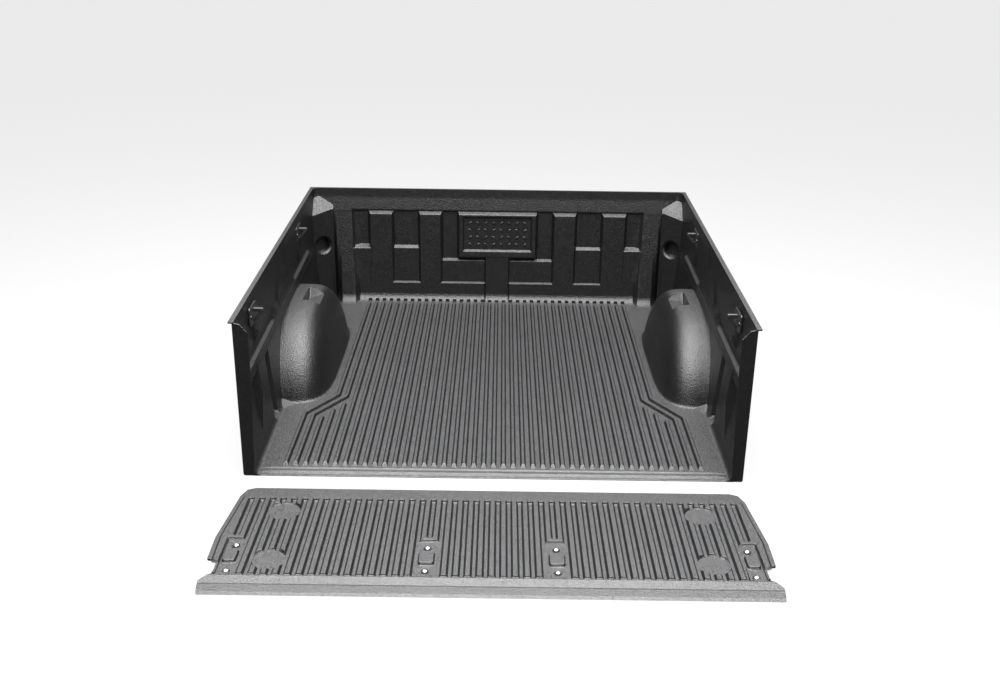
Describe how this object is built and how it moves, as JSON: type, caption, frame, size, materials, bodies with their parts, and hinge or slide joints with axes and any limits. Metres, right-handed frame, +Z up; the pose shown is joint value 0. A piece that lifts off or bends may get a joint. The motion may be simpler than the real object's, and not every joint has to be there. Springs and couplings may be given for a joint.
{
  "type": "truck bed liner",
  "caption": "Open-topped ribbed pickup bed tub with arched wheel-well covers, panelled front wall, tie-down cleats and a grooved liner for the drop-down tailgate.",
  "frame": {"origin": "middle of the assembly's footprint, on the plane that the liner lies on", "axes": "+X to the truck's right, +Y towards the cab, +Z up"},
  "size_m": [1.67, 2.397, 0.518],
  "materials": {
    "liner_sheet": "black high-density polyethylene, pebble grained, satin",
    "cleat_metal": "black powder-coated die casting",
    "bolt_steel": "black zinc plated steel",
    "screw_steel": "bright zinc plated steel, domed",
    "washer_steel": "black zinc plated steel, flat"
  },
  "bodies": {
    "tub": {"bed_floor": "liner_sheet", "front_wall": "liner_sheet", "left_side_wall": "liner_sheet", "right_side_wall": "liner_sheet", "left_wheel_well": "liner_sheet", "right_wheel_well": "liner_sheet", "tie_down_cleat_rear_left": "cleat_metal", "tie_down_cleat_front_left": "cleat_metal", "tie_down_cleat_rear_right": "cleat_metal", "tie_down_cleat_front_right": "cleat_metal", "cleat_bolt_rear_left_1": "bolt_steel", "cleat_bolt_rear_left_2": "bolt_steel", "cleat_bolt_front_left_1": "bolt_steel", "cleat_bolt_front_left_2": "bolt_steel", "cleat_bolt_rear_right_1": "bolt_steel", "cleat_bolt_rear_right_2": "bolt_steel", "cleat_bolt_front_right_1": "bolt_steel", "cleat_bolt_front_right_2": "bolt_steel"},
    "tailgate": {"tailgate_liner": "liner_sheet", "tailgate_screw_1": "screw_steel", "tailgate_screw_2": "screw_steel", "tailgate_screw_3": "screw_steel", "tailgate_screw_4": "screw_steel", "tailgate_screw_5": "screw_steel", "tailgate_screw_6": "screw_steel", "tailgate_screw_7": "screw_steel", "tailgate_screw_8": "screw_steel", "tailgate_washer_1": "washer_steel", "tailgate_washer_2": "washer_steel", "tailgate_washer_3": "washer_steel", "tailgate_washer_4": "washer_steel", "tailgate_washer_5": "washer_steel", "tailgate_washer_6": "washer_steel", "tailgate_washer_7": "washer_steel", "tailgate_washer_8": "washer_steel"}
  },
  "joints": [
    {"name": "tailgate_swing", "type": "hinge", "parent": "tub", "child": "tailgate", "pos_m": [0, -0.6035, -0.021], "axis": [-1, 0, 0], "range_deg": [0, 90]}
  ]
}
